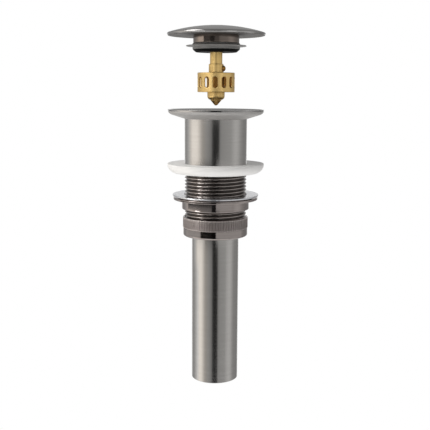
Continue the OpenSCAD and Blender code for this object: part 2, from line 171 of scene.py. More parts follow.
def turnPiece(name, outline, finishes, body, nodes, columns=turnColumns, rowFinish=None):
    # closed outline turned about Z, faced outward, each row's faces in the finish given for that row
    rows = np.zeros(len(outline)) if rowFinish is None else np.asarray(rowFinish)
    if isClockwise(outline):
        outline, rows = outline[::-1], np.roll(rows[::-1], -1)
    grid = turnGrid(outline, columns)
    faces = gridFaces(len(outline), columns, True, True)
    return makePiece(name, grid.reshape(-1, 3), faces, finishes, body, nodes, np.repeat(rows, columns))


# finishes

# part of the noise's range that carries the tones, and how fine the ring, thread and skin noises are
grainLook = {"low": 0.3, "high": 0.7, "ringDetail": 4.0, "ringRoughness": 0.6, "along": 45.0, "threadAcross": 2600.0,
             "threadAlong": 300.0, "cloudDetail": 3.0, "skinDetail": 5.0, "skinPerCloud": 12}


def newFinish(name, **sockets):
    # principled material with the given sockets set, an underscore standing for a space
    material = bpy.data.materials.new(name)
    material.use_nodes = True
    tree = material.node_tree
    shader = tree.nodes["Principled BSDF"]
    for socket, value in sockets.items():
        shader.inputs[socket.replace("_", " ")].default_value = value
    return material, tree, shader


def mathNode(tree, operation, *values):
    # sum, product or the like of sockets and plain numbers
    node = tree.nodes.new("ShaderNodeMath")
    node.operation = operation
    for place, value in zip(node.inputs, values):
        if isinstance(value, (int, float)):
            place.default_value = value
        else:
            tree.links.new(value, place)
    return node.outputs[0]


def rangeNode(tree, value, fromLow, fromHigh, toLow=0, toHigh=1):
    # the value carried from one range to another, and held at its ends
    node = tree.nodes.new("ShaderNodeMapRange")
    for socket, number in zip(("From Min", "From Max", "To Min", "To Max"), (fromLow, fromHigh, toLow, toHigh)):
        node.inputs[socket].default_value = number
    tree.links.new(value, node.inputs["Value"])
    return node.outputs["Result"]


def ringPlaces(tree):
    # the point's own X, Y and Z, and its distance from the Z axis
    place = tree.nodes.new("ShaderNodeTexCoord")
    split = tree.nodes.new("ShaderNodeSeparateXYZ")
    tree.links.new(place.outputs["Object"], split.inputs[0])
    flat = tree.nodes.new("ShaderNodeCombineXYZ")
    tree.links.new(split.outputs["X"], flat.inputs["X"])
    tree.links.new(split.outputs["Y"], flat.inputs["Y"])
    radius = tree.nodes.new("ShaderNodeVectorMath")
    radius.operation = "LENGTH"
    tree.links.new(flat.outputs[0], radius.inputs[0])
    return split, radius.outputs["Value"]


def turnedGrain(tree, across, along):
    # noise in rings about Z: fast along radius plus height, slow round the ring
    split, radius = ringPlaces(tree)
    joined = tree.nodes.new("ShaderNodeCombineXYZ")
    tree.links.new(split.outputs["X"], joined.inputs["X"])
    tree.links.new(split.outputs["Y"], joined.inputs["Y"])
    tree.links.new(mathNode(tree, "ADD", radius, split.outputs["Z"]), joined.inputs["Z"])
    stretch = tree.nodes.new("ShaderNodeVectorMath")
    stretch.operation = "MULTIPLY"
    stretch.inputs[1].default_value = (along, along, across)
    tree.links.new(joined.outputs[0], stretch.inputs[0])
    noise = tree.nodes.new("ShaderNodeTexNoise")
    noise.inputs["Scale"].default_value = 1.0
    noise.inputs["Detail"].default_value = grainLook["ringDetail"]
    noise.inputs["Roughness"].default_value = grainLook["ringRoughness"]
    tree.links.new(stretch.outputs[0], noise.inputs["Vector"])
    return noise.outputs["Fac"]


def cloudGrain(tree, scale, detail):
    # even noise in space, for moulded skins and faint clouding
    place = tree.nodes.new("ShaderNodeTexCoord")
    noise = tree.nodes.new("ShaderNodeTexNoise")
    noise.inputs["Scale"].default_value = scale
    noise.inputs["Detail"].default_value = detail
    tree.links.new(place.outputs["Object"], noise.inputs["Vector"])
    return noise.outputs["Fac"]


def tintBy(tree, shader, grain, dark, pale):
    # colour from dark to pale as the grain rises
    ramp = tree.nodes.new("ShaderNodeValToRGB")
    ramp.color_ramp.elements[0].position = grainLook["low"]
    ramp.color_ramp.elements[0].color = (*dark, 1)
    ramp.color_ramp.elements[1].position = grainLook["high"]
    ramp.color_ramp.elements[1].color = (*pale, 1)
    tree.links.new(grain, ramp.inputs["Fac"])
    tree.links.new(ramp.outputs["Color"], shader.inputs["Base Color"])


def roughBy(tree, shader, grain, smooth, rough):
    # roughness from smooth to rough as the grain rises
    spread = rangeNode(tree, grain, grainLook["low"], grainLook["high"], smooth, rough)
    tree.links.new(spread, shader.inputs["Roughness"])


def bumpBy(tree, shader, grain, depth, strength):
    # relief of the grain, its depth in millimetres
    bump = tree.nodes.new("ShaderNodeBump")
    bump.inputs["Strength"].default_value = strength
    bump.inputs["Distance"].default_value = depth * mm
    tree.links.new(grain, bump.inputs["Height"])
    tree.links.new(bump.outputs["Normal"], shader.inputs["Normal"])


def metalFinish(name, dark, pale, smooth, rough, across, bumpDepth, bumpStrength):
    # turned metal: ring grain in colour, gloss and relief
    material, tree, shader = newFinish(name, Metallic=1.0)
    grain = turnedGrain(tree, across, grainLook["along"])
    tintBy(tree, shader, grain, dark, pale)
    roughBy(tree, shader, grain, smooth, rough)
    bumpBy(tree, shader, grain, bumpDepth, bumpStrength)
    return material


def threadShadeFinish(name, root, crest, rootR, crestR, smooth, rough):
    # metal darkened from the thread's crests down to its roots, by distance from the axis: painted shade in the
    # thread's grooves
    material, tree, shader = newFinish(name, Metallic=1.0)
    depth = rangeNode(tree, ringPlaces(tree)[1], rootR * mm, crestR * mm)
    tintBy(tree, shader, depth, root, crest)
    grain = turnedGrain(tree, grainLook["threadAcross"], grainLook["threadAlong"])
    roughBy(tree, shader, grain, smooth, rough)
    return material


def mouldedFinish(name, dark, pale, smooth, rough, scale, bumpDepth, bumpStrength, **sockets):
    # moulded rubber or plastic: fine skin in relief and gloss over a faint cloud of colour
    material, tree, shader = newFinish(name, **sockets)
    cloud = cloudGrain(tree, scale / grainLook["skinPerCloud"], grainLook["cloudDetail"])
    tintBy(tree, shader, cloud, dark, pale)
    skin = cloudGrain(tree, scale, grainLook["skinDetail"])
    roughBy(tree, shader, skin, smooth, rough)
    bumpBy(tree, shader, skin, bumpDepth, bumpStrength)
    return material


brushedNickel = metalFinish("brushedNickel", (0.46, 0.445, 0.425), (0.54, 0.525, 0.505), smooth=0.15, rough=0.23,
                            across=5200.0, bumpDepth=0.008, bumpStrength=0.12)
brightNickel = metalFinish("brightNickel", (0.34, 0.30, 0.285), (0.40, 0.36, 0.34), smooth=0.06, rough=0.12,
                           across=2600.0, bumpDepth=0.006, bumpStrength=0.1)
knurledNickel = metalFinish("knurledNickel", (0.56, 0.505, 0.485), (0.64, 0.58, 0.56), smooth=0.5, rough=0.6,
                            across=2600.0, bumpDepth=0.006, bumpStrength=0.1)
darkNickel = metalFinish("darkNickel", (0.20, 0.165, 0.144), (0.275, 0.23, 0.20), smooth=0.08, rough=0.15,
                         across=3600.0, bumpDepth=0.006, bumpStrength=0.1)
satinNickel = metalFinish("satinNickel", (0.53, 0.515, 0.50), (0.60, 0.585, 0.57), smooth=0.6, rough=0.7,
                          across=4200.0, bumpDepth=0.015, bumpStrength=0.15)
# darker nickel under the cap: painted shade
underShadeNickel = metalFinish("underShadeNickel", (0.19, 0.183, 0.177), (0.23, 0.222, 0.214), smooth=0.65, rough=0.75,
                          across=4200.0, bumpDepth=0.015, bumpStrength=0.15)
# polished nickel for rim edges, its colour darkened as painted shade
rimShadeNickel = metalFinish("rimShadeNickel", (0.36, 0.35, 0.34), (0.42, 0.41, 0.40), smooth=0.08, rough=0.14,
                        across=3600.0, bumpDepth=0.006, bumpStrength=0.1)
polishedNickel = metalFinish("polishedNickel", (0.74, 0.745, 0.77), (0.82, 0.825, 0.85), smooth=0.14, rough=0.24,
                             across=3600.0, bumpDepth=0.006, bumpStrength=0.1)
# thread nickel darker towards its roots: painted shade
shadedThreadNickel = threadShadeFinish("shadedThreadNickel", (0.13, 0.115, 0.107), (0.42, 0.385, 0.365), rootR=19.7, crestR=20.95,
                            smooth=0.16, rough=0.26)
turnedBrass = metalFinish("turnedBrass", (0.81, 0.545, 0.195), (0.90, 0.655, 0.285), smooth=0.36, rough=0.46,
                          across=4200.0, bumpDepth=0.01, bumpStrength=0.15)
# darker copy of the turned brass: painted shade inside the cage's slots and on the guide tube, and a painted dark
# reflection on the guide screw
shadedBrass = metalFinish("shadedBrass", (0.43, 0.225, 0.055), (0.53, 0.29, 0.085), smooth=0.42, rough=0.52,
                         across=4200.0, bumpDepth=0.01, bumpStrength=0.15)
springBronze = metalFinish("springBronze", (0.52, 0.31, 0.11), (0.64, 0.41, 0.17), smooth=0.3, rough=0.42,
                           across=5200.0, bumpDepth=0.008, bumpStrength=0.15)
springWire = metalFinish("springWire", (0.50, 0.50, 0.51), (0.62, 0.62, 0.63), smooth=0.18, rough=0.3,
                         across=5200.0, bumpDepth=0.008, bumpStrength=0.15)
whiteRubber = mouldedFinish("whiteRubber", (0.865, 0.85, 0.828), (0.885, 0.875, 0.855), smooth=0.4, rough=0.48,
                            scale=2600.0, bumpDepth=0.008, bumpStrength=0.08)
darkRubber = mouldedFinish("darkRubber", (0.19, 0.186, 0.18), (0.23, 0.225, 0.217), smooth=0.42, rough=0.55,
                           scale=3000.0, bumpDepth=0.03, bumpStrength=0.2)
blackPlastic = mouldedFinish("blackPlastic", (0.004, 0.004, 0.004), (0.009, 0.009, 0.009), smooth=0.5, rough=0.65,
                             scale=3400.0, bumpDepth=0.02, bumpStrength=0.2, Specular_IOR_Level=0.02)
print("finishes: 16 made")

cadFinishes = {
    "stopper_bridge": turnedBrass,
    "nose_plug": turnedBrass,
    "cam_spindle": turnedBrass,
    "cone_tip": turnedBrass,
    "plunger_sleeve": turnedBrass,
    "cap_stud": springWire,
    "tail_washer": darkRubber,
}
for nodeName, finish in cadFinishes.items():
    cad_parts[nodeName].data.materials.clear()
    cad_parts[nodeName].data.materials.append(finish)


# stopper head

cap = {"rimRound": 1.0, "relief": 0.5, "reliefWidth": 2.6, "rampWidth": 0.6, "rampDip": 0.04, "rimSteps": 16,
       "rimUnder": 4, "domeSteps": 40}


def stopperCap():
    # lens outline: flat relieved underside, round rim, and a dome arc tangent to the rim
    outer, low, high = reach("stopper_cap")
    rimR, rimZ = outer - cap["rimRound"], low + cap["rimRound"]
    top = high - cap["rimRound"]
    middle = (top ** 2 - rimZ ** 2 - rimR ** 2) / (2 * (top - rimZ))  # height of the dome's centre
    domeR = high - middle
    lean = math.degrees(math.atan2(rimR, rimZ - middle))
    seat = low + cap["relief"]
    rampR = rimR - cap["reliefWidth"]
    under = np.array([[0, seat], [rampR - cap["rampWidth"], seat], [rampR, seat - cap["rampDip"]]])
    rim = arcPoints(rimR, rimZ, cap["rimRound"], -90, 90 - lean, cap["rimSteps"])
    dome = arcPoints(0, middle, domeR, 90 - lean, 90, cap["domeSteps"])[1:]
    row = np.arange(len(under) + len(rim) + len(dome))
    # underside with the rim's lowest rows in nickel darkened as painted shade, then the polished rim, also darkened
    # as painted shade, then the brushed dome
    rowFinish = np.where(row < len(under) + cap["rimUnder"], 1, np.where(row < len(under) + len(rim), 2, 0))
    turnPiece("stopperCap", np.vstack([under, rim, dome]), [brushedNickel, underShadeNickel, rimShadeNickel], "stopper_head",
              ["stopper_cap"], fineColumns, rowFinish)


carrier = {"footRound": 0.35, "topRound": 0.15, "bore": 4.15}


def sealCarrier():
    # short ring with rounded lower edge
    outer, low, high = reach("seal_carrier")
    corners = [(carrier["bore"], low), (outer, low, carrier["footRound"]), (outer, high, carrier["topRound"]),
               (carrier["bore"], high)]
    turnPiece("sealCarrier", softOutline(corners), [darkNickel], "stopper_head", ["seal_carrier"])


seal = {"body": 15.7, "bore": 8.1, "root": 1.4, "tip": 0.5, "up": 2.26, "lipRound": 0.22, "rootRound": 0.5,
        "footRound": 0.2, "topRound": 0.25}


def lipSeal():
    # rubber body with one lip that thins to its tip
    outer, low, high = reach("lip_seal")
    lip = low + seal["up"]
    corners = [
        (seal["bore"], low),
        (seal["body"], low, seal["footRound"]),
        (seal["body"], lip - seal["root"] / 2, seal["rootRound"]),
        (outer, lip - seal["tip"] / 2, seal["lipRound"]),
        (outer, lip + seal["tip"] / 2, seal["lipRound"]),
        (seal["body"], lip + seal["root"] / 2, seal["rootRound"]),
        (seal["body"], high, seal["topRound"]),
        (seal["bore"], high),
    ]
    turnPiece("lipSeal", softOutline(corners), [darkRubber], "stopper_head", ["lip_seal"])


retainer = {"foot": 13.6, "height": 1.8, "hub": 7.95, "bore": 4.15, "boreRound": 0.2, "footRound": 0.35,
            "shoulderRound": 0.15}


def sealRetainer():
    # tapered clamp ring with its hub up through the seal
    outer, low, high = reach("seal_retainer")
    shoulder = low + retainer["height"]
    corners = [
        (retainer["bore"], low, retainer["boreRound"]),
        (retainer["foot"], low, retainer["footRound"]),
        (outer, shoulder, retainer["shoulderRound"]),
        (retainer["hub"], shoulder),
        (retainer["hub"], high),
        (retainer["bore"], high),
    ]
    turnPiece("sealRetainer", softOutline(corners), [blackPlastic], "stopper_head", ["seal_retainer"])


screw = {"turn": -15.0, "head": 2.1, "rise": 1.85, "spot": 4.4, "shank": 1.1, "pin": 0.75, "pinTip": 1.85,
         "sleeveBore": 2.95, "socket": 0.75, "socketDepth": 0.8, "socketCone": 0.2, "domeSpan": 62, "domeSteps": 10,
         "columns": 72}


def guideScrew():
    # dome head with a six-sided socket: radius of a hexagon = flat / cos(angle to the nearest flat)
    low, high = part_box("guide_screw")
    height = (low[2] + high[2]) / 2 / mm
    turn = np.linspace(0, 2 * np.pi, screw["columns"], endpoint=False)
    hexagon = screw["socket"] / np.cos((turn + np.pi / 6) % (np.pi / 3) - np.pi / 6)
    dome = np.radians(np.linspace(0, screw["domeSpan"], screw["domeSteps"]))
    domeR = screw["head"] * np.cos(dome)
    domeX = screw["spot"] + screw["rise"] * np.sin(dome) / math.sin(math.radians(screw["domeSpan"]))
    tip = screw["spot"] + screw["rise"]
    plain = np.array([[0, screw["pinTip"]], [screw["pin"], screw["pinTip"]], [screw["pin"], screw["sleeveBore"]],
                      [screw["shank"], screw["sleeveBore"]], [screw["shank"], screw["spot"]]])
    plain = np.vstack([plain, np.column_stack([domeR, domeX])])
    radius = np.vstack([np.repeat(plain[:, :1], screw["columns"], axis=1), hexagon, hexagon, 0 * hexagon])
    floor = tip - screw["socketDepth"]
    along = np.concatenate([plain[:, 1], [tip, floor, floor - screw["socketCone"]]])[:, None] + 0 * radius
    a = math.radians(screw["turn"])
    side, up = radius * np.cos(turn), radius * np.sin(turn)
    points = np.stack([along * math.cos(a) - side * math.sin(a), along * math.sin(a) + side * math.cos(a),
                       height + up], axis=-1)
    faces = gridFaces(len(radius), screw["columns"], False, True)
    # the screw's brass is darkened: a painted dark reflection
    makePiece("guideScrew", points.reshape(-1, 3), faces, [shadedBrass], "stopper_head", ["guide_screw"])


stopperCap()
sealCarrier()
lipSeal()
sealRetainer()
guideScrew()
print("stopper head: made")


# stopper cartridge

cage = {"slots": 13, "slotWidth": 3.4, "slotHeight": 7.3, "wall": 1.0, "floor": 2.0, "hole": 5.22, "turn": -92.4,
        "edge": 0.4, "edgeBend": [(0.05, 0.6), (0.35, 0.2), (1, 0)], "floorBend": [(0.1, 0.08), (0.25, 0)],
        "slotEdge": 0.1, "slotBend": 0.35, "frameGap": 0.1, "floorGap": 0.25, "sideSteps": 14, "endSteps": 14,
        "rings": 4, "sharp": 38}
tube = {"bore": 5.2, "wall": 0.6, "keyTurn": -15.0, "keyWidth": 4.8, "keyLow": 4.65, "sink": 0.2, "columns": 96,
        "keyColumns": 13}


def slotRadius(angle, halfWidth, halfStraight):
    # distance from the slot's middle to its round-ended outline along a ray
    c, s = np.abs(np.cos(angle)), np.abs(np.sin(angle))
    onSide = halfWidth * s <= halfStraight * c
    side = halfWidth / np.maximum(c, 1e-9)
    end = halfStraight * s + np.sqrt(np.maximum(halfWidth ** 2 - (halfStraight * c) ** 2, 0))
    return np.where(onSide, side, end)


def guideTube(low, high):
    # thin tube inside the cage whose upper edge drops along the keyway: at each side of the keyway two
    # columns share one angle, so that the step between them is an upright wall
    keyHalf = math.asin(tube["keyWidth"] / 2 / (tube["bore"] + tube["wall"]))
    plain = np.linspace(keyHalf, 2 * math.pi - keyHalf, tube["columns"])
    keyed = np.linspace(-keyHalf, keyHalf, tube["keyColumns"])
    turn = np.concatenate([plain, keyed]) + math.radians(tube["keyTurn"])
    keyZ = low + tube["keyLow"]
    top = np.concatenate([np.full(len(plain), high), np.full(len(keyed), keyZ)])
    foot = low + cage["floor"] - tube["sink"] + 0 * turn
    bore, outside = tube["bore"] + 0 * turn, tube["bore"] + tube["wall"] + 0 * turn
    r = np.stack([bore, bore, bore, outside, outside, outside])
    z = np.stack([foot, keyZ + 0 * turn, top, top, keyZ + 0 * turn, foot])
    points = np.stack([r * np.cos(turn), r * np.sin(turn), z], axis=-1)
    return points.reshape(-1, 3), gridFaces(len(r), len(turn), True, True)[:, ::-1]


def slottedCage():
    # wall of equal windows: in each, rings blend from a rectangle on the wall to the slot's outline,
    # dive through the wall and come back to a rectangle inside, and plain rings close rim and floor
    outer, low, high = reach("slotted_cage")
    inner = outer - cage["wall"]
    halfTurn = math.pi / cage["slots"]
    middle = (low + high) / 2
    halfWide = halfTurn * outer
    halfHigh = (high - low) / 2 - cage["edge"] - cage["frameGap"]
    corner = math.atan2(halfHigh, halfWide)
    sides = np.linspace(-corner, corner, cage["sideSteps"], endpoint=False)
    ends = np.linspace(corner, math.pi - corner, cage["endSteps"], endpoint=False)
    angle = np.concatenate([sides, ends, sides + math.pi, ends + math.pi])
    c, s = np.cos(angle), np.sin(angle)
    frameR = np.minimum(halfWide / np.maximum(np.abs(c), 1e-9), halfHigh / np.maximum(np.abs(s), 1e-9))
    halfWidth, halfStraight = cage["slotWidth"] / 2, (cage["slotHeight"] - cage["slotWidth"]) / 2
    openR = slotRadius(angle, halfWidth, halfStraight)
    softR = slotRadius(angle, halfWidth + cage["slotEdge"], halfStraight)
    blend = np.linspace(0, 1, cage["rings"] + 1)[:, None]
    face = frameR * (1 - blend) + softR * blend  # ray lengths from the frame in to the slot's edge
    bend, dip, through = cage["slotBend"], cage["slotEdge"], cage["wall"]
    bendR = softR * bend + openR * (1 - bend)
    lengths = np.vstack([face, bendR, openR, openR, bendR, face[::-1]])
    depths = np.concatenate([0 * blend[:, 0], [dip * bend, dip, through - dip, through - dip * bend],
                             through + 0 * blend[:, 0]])
    radius = (outer - depths)[:, None] + 0 * lengths
    across = lengths * c / outer  # angle from the slot's middle
    rise = lengths * s
    # the inside rectangle ends above the cage's floor
    floorHalf = middle - (low + cage["floor"] + cage["floorGap"])
    inside = np.concatenate([0 * blend[:, 0], [0, 0, 0, 0], 1 - blend[::-1, 0]])[:, None]
    squeeze = 1 - inside * (1 - floorHalf / halfHigh)
    rise = np.where(rise < 0, rise * squeeze, rise)
    windows = math.radians(cage["turn"]) + 2 * halfTurn * np.arange(cage["slots"])
    turn = windows[:, None, None] + across
    wall = np.stack([radius * np.cos(turn), radius * np.sin(turn), middle + rise + 0 * turn], axis=-1)
    rows, columns = lengths.shape
    cell = gridFaces(rows, columns, False, True)
    wallFaces = (cell + (np.arange(cage["slots"]) * rows * columns)[:, None, None]).reshape(-1, 4)[:, ::-1]
    # rim and floor on the same angles as the windows' frames
    frameTurn = (halfHigh / np.tan(ends)) / outer
    ringTurn = np.sort((windows[:, None] + np.append(frameTurn, -halfTurn)[None, 1:]).ravel())
    edgeIn, edgeDown = np.array(cage["edgeBend"]).T * cage["edge"]
    floorIn, floorUp = np.array(cage["floorBend"]).T
    floorTop = low + cage["floor"]
    rim = np.vstack([[[outer, middle + halfHigh]], np.column_stack([outer - edgeIn, high - edgeDown]),
                     np.column_stack([inner + edgeIn, high - edgeDown])[::-1], [[inner, middle + halfHigh]]])
    base = np.vstack([[[inner, middle - floorHalf]], np.column_stack([inner - floorIn, floorTop + floorUp]),
                      [[cage["hole"], floorTop], [cage["hole"], low]],
                      np.column_stack([outer - edgeIn, low + edgeDown])[::-1], [[outer, middle - halfHigh]]])
    points, faces = [wall.reshape(-1, 3)], [wallFaces]
    # faces inside the slots and the guide tube take the darker brass as painted shade
    isShaded = [np.tile(np.repeat(np.arange(rows - 1) > cage["rings"] + 2, columns), cage["slots"])]
    count = len(points[0])
    for outline in (rim, base):
        ring = np.stack(np.broadcast_arrays(outline[:, :1] * np.cos(ringTurn), outline[:, :1] * np.sin(ringTurn),
                                            outline[:, 1:]), axis=-1).reshape(-1, 3)
        points.append(ring)
        faces.append(gridFaces(len(outline), len(ringTurn), False, True) + count)
        isShaded.append(np.zeros(len(faces[-1])))
        count += len(ring)
    tubePoints, tubeFaces = guideTube(low, high)
    points.append(tubePoints)
    faces.append(tubeFaces + count)
    isShaded.append(np.ones(len(tubeFaces)))
    makePiece("slottedCage", np.vstack(points), np.vstack(faces), [turnedBrass, shadedBrass], "cartridge",
              ["slotted_cage"], np.concatenate(isShaded), cage["sharp"])


slottedCage()

spring = {"wire": 0.8, "mean": 3.75, "turns": 7, "endPitch": 0.82, "stepsPerTurn": 40, "sides": 14, "stroke": 8.5}


def returnSpring():
    # wire circle carried along a helix whose end turns lie close
    low, high = reach("return_spring")[1:]
    half = spring["wire"] / 2
    turns = np.linspace(0, spring["turns"], spring["turns"] * spring["stepsPerTurn"] + 1)
    rise = np.interp(turns, [0, 1, spring["turns"] - 1, spring["turns"]],
                     [low + half, low + half + spring["endPitch"], high - half - spring["endPitch"], high - half])
    roundWire = np.linspace(0, 2 * np.pi, spring["sides"], endpoint=False)
    scale = np.concatenate([[0], np.ones(len(turns)), [0]])[:, None]  # both ends close to a point
    turn = np.concatenate([turns[:1], turns, turns[-1:]])[:, None] * 2 * np.pi
    rise = np.concatenate([rise[:1], rise, rise[-1:]])[:, None]
    radius = spring["mean"] + scale * half * np.cos(roundWire)
    height = rise + scale * half * np.sin(roundWire)
    points = np.stack([radius * np.cos(turn), radius * np.sin(turn), height], axis=-1)
    faces = gridFaces(len(turn), spring["sides"], False, True)
    piece = makePiece("returnSpring", points.reshape(-1, 3), faces, [springBronze], "cartridge",
                      ["return_spring"])
    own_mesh(piece)


returnSpring()
print("stopper cartridge: made")


# drain

body = {"topEdge": 0.1, "rimRound": 3.5, "cone": 17.5, "barrel": 21.0, "bore": 18.8, "lowerBore": 17.6,
        "threadTop": -35.8, "land": 1.35, "satinTop": 0.85, "funnel": 19.7, "funnelRound": 2.0, "funnelSteps": 8,
        "edgeSteps": 6, "underSteps": 14, "threadGap": 0.2, "boreEdge": 0.3, "hold": 0.05, "sharp": 40}
thread = {"pitch": 2.309, "depth": 1.3, "crest": 0.16, "root": 0.12, "major": 20.95, "rowsPerTurn": 18, "start": 0.3,
          "chamfer": 1.17}


def threadDepth(height, turn):
    # share of the thread's depth: 0 on the crest and 1 in the root, along a right-hand helix
    place = np.abs(2 * ((height / thread["pitch"] - turn / (2 * np.pi)) % 1) - 1)
    return np.clip((place - thread["crest"]) / (1 - thread["crest"] - thread["root"]), 0, 1)


def drainBody():
    # one closed outline turned about Z, with the helix cut into the rows of its threaded stretch
    outer, low, high = reach("drain_body")
    threadTop = body["threadTop"]
    tanSlope = math.tan(math.radians(body["funnel"]))
    landR = outer - body["land"]
    cornerZ = high - (landR - body["bore"]) * tanSlope
    roundZ = cornerZ - body["funnelRound"] * math.tan(math.radians(90 - body["funnel"]) / 2)
    funnel = arcPoints(body["bore"] + body["funnelRound"], roundZ, body["funnelRound"], 180, 90 + body["funnel"],
                       body["funnelSteps"])
    edge = arcPoints(outer - body["topEdge"], high - body["topEdge"], body["topEdge"], 90, 0, body["edgeSteps"])
    under = arcPoints(outer - body["rimRound"], high - body["topEdge"], body["rimRound"],
                      0, body["cone"] - 90, body["underSteps"])
    coneLow = under[-1, 1] - (under[-1, 0] - body["barrel"]) * math.tan(math.radians(body["cone"]))
    barrel = [[body["barrel"], coneLow], [body["barrel"], threadTop + body["threadGap"]]]
    flange = np.vstack([[[landR, high]], edge, under, barrel])
    rows = int((threadTop - low) / thread["pitch"] * thread["rowsPerTurn"])
    heights = np.linspace(threadTop, low, rows)
    tapped = np.column_stack([np.full(rows, thread["major"]), heights])
    step = reach("stopper_bridge")[1]
    boreR, edgeCut = body["lowerBore"], body["boreEdge"]
    inside = np.array([[boreR + edgeCut, low], [boreR, low + edgeCut], [boreR, step], [body["bore"], step],
                       [body["bore"], step + body["hold"]]])
    outline = np.vstack([flange, tapped, inside, funnel])
    # places in the list of finishes below: brushed barrel and funnel, bright bore, satin underside and polished edge
    # of the flange, the edge darkened as painted shade, and the thread, darker in its roots as painted shade
    brushed, bright, satin, tappedMetal, rimShadeMetal = range(5)
    underFlange = (flange[:, 1] < body["satinTop"]) & (flange[:, 0] > body["barrel"] + body["hold"])
    flangeFinish = np.where(underFlange, satin, np.where(flange[:, 1] >= body["satinTop"], rimShadeMetal, brushed))
    isThread = np.concatenate([np.zeros(len(flange)), np.ones(rows), np.zeros(len(inside) + len(funnel))])
    finishRow = np.concatenate([flangeFinish, np.full(rows, tappedMetal), np.full(len(inside), bright),
                                np.full(len(funnel), brushed)])
    outline, isThread, finishRow = outline[::-1], isThread[::-1], np.roll(finishRow[::-1], -1)
    turn = np.linspace(0, 2 * np.pi, turnColumns, endpoint=False)
    r, z = outline[:, :1] + 0 * turn, outline[:, 1:] + 0 * turn
    # the cut fades in over the first turn, and the lower end is chamfered
    fade = np.clip((threadTop - thread["start"] - z) / thread["pitch"], 0, 1)
    threaded = thread["major"] - thread["depth"] * threadDepth(z, turn) * fade
    threaded = np.minimum(threaded, thread["major"] - thread["chamfer"] + np.maximum(z - low, 0))
    r = np.where(isThread[:, None] > 0, threaded, r)
    points = np.stack([r * np.cos(turn), r * np.sin(turn), z], axis=-1)
    faces = gridFaces(len(outline), turnColumns, True, True)
    makePiece("drainBody", points.reshape(-1, 3), faces,
              [brushedNickel, brightNickel, satinNickel, shadedThreadNickel, rimShadeNickel], "drain_body", ["drain_body"],
              np.repeat(finishRow, turnColumns), body["sharp"])


gasket = {"rim": 0.6, "foot": 26.6, "bore": 21.3, "topRound": 0.2, "boreRound": 0.3, "hold": 0.2, "footHold": 0.3,
          "steps": 20, "topSteps": 5, "boreSteps": 4}


def basinGasket():
    # flat-topped ring with a thin rim and a bowl-shaped flank, a quarter ellipse from rim to foot
    outer, low, high = reach("basin_gasket")
    t = np.radians(np.linspace(0, 90, gasket["steps"] + 1))
    wide, tall = outer - gasket["foot"], high - gasket["rim"] - low
    flank = np.column_stack([gasket["foot"] + wide * np.sin(t), low + tall * (1 - np.cos(t))])
    topR, boreR = outer - gasket["topRound"], gasket["bore"] + gasket["boreRound"]
    top = arcPoints(topR, high - gasket["topRound"], gasket["topRound"], 0, 90, gasket["topSteps"])
    inner = arcPoints(boreR, high - gasket["boreRound"], gasket["boreRound"], 90, 180, gasket["boreSteps"])
    hold = [[topR - gasket["hold"], high], [boreR + gasket["hold"], high]]
    foot = [[gasket["bore"], low], [gasket["foot"] - gasket["footHold"], low]]
    outline = np.vstack([foot, flank, top, hold, inner])
    ring = turnPiece("basinGasket", outline, [whiteRubber], "basin_gasket", ["basin_gasket"],
                     fineColumns)
    ring.visible_glossy = False  # the barrel's dark band runs down to the gasket


washer = {"bore": 21.3, "edge": 0.28, "boreEdge": 0.15}


def frictionWasher():
    # stamped flat ring with rolled edges
    outer, low, high = reach("friction_washer")
    corners = [(washer["bore"], low, washer["boreEdge"]), (outer, low, washer["edge"]), (outer, high, washer["edge"]),
               (washer["bore"], high, washer["boreEdge"])]
    turnPiece("frictionWasher", softOutline(corners), [polishedNickel], "friction_washer", ["friction_washer"],
              fineColumns)


lock = {"bore": 21.05, "hub": 22.9, "boss": 25.05, "bossHeight": 0.6, "flangeThickness": 1.6, "edge": 0.35,
        "rootRound": 0.5, "hubRound": 0.6, "bossRound": 0.15, "boreFoot": 0.4, "boreTop": 0.3}


def lockNut():
    # flanged round nut with a low boss that meets the washer
    outer, low, high = reach("lock_nut")
    top = high - lock["bossHeight"]
    under = top - lock["flangeThickness"]
    corners = [(lock["bore"], low, lock["boreFoot"]), (lock["hub"], low, lock["hubRound"]),
               (lock["hub"], under, lock["rootRound"]), (outer, under, lock["edge"]), (outer, top, lock["edge"]),
               (lock["boss"], top, lock["bossRound"]), (lock["boss"], high, lock["bossRound"]),
               (lock["bore"], high, lock["boreTop"])]
    turnPiece("lockNut", softOutline(corners), [brightNickel], "lock_nut", ["lock_nut"], fineColumns)


knurl = {"ribs": 76, "depth": 0.3, "band": 7.3, "samples": 8, "rows": 10, "groove": 0.2, "taper": 0.1,
         "topRound": 0.5, "footRound": 1.3, "bore": 21.05, "boreRound": 0.25, "lip": 2.9, "lipBore": 16.45,
         "lipRound": 0.2, "grooveIn": 0.32, "grooveMiddle": 0.1, "grooveEdge": 0.1, "grooveBed": 0.08, "ribLow": 0.4,
         "ribHigh": 0.8, "runOut": 0.2, "notch": 0.35, "skin": 0.05, "sharp": 40}


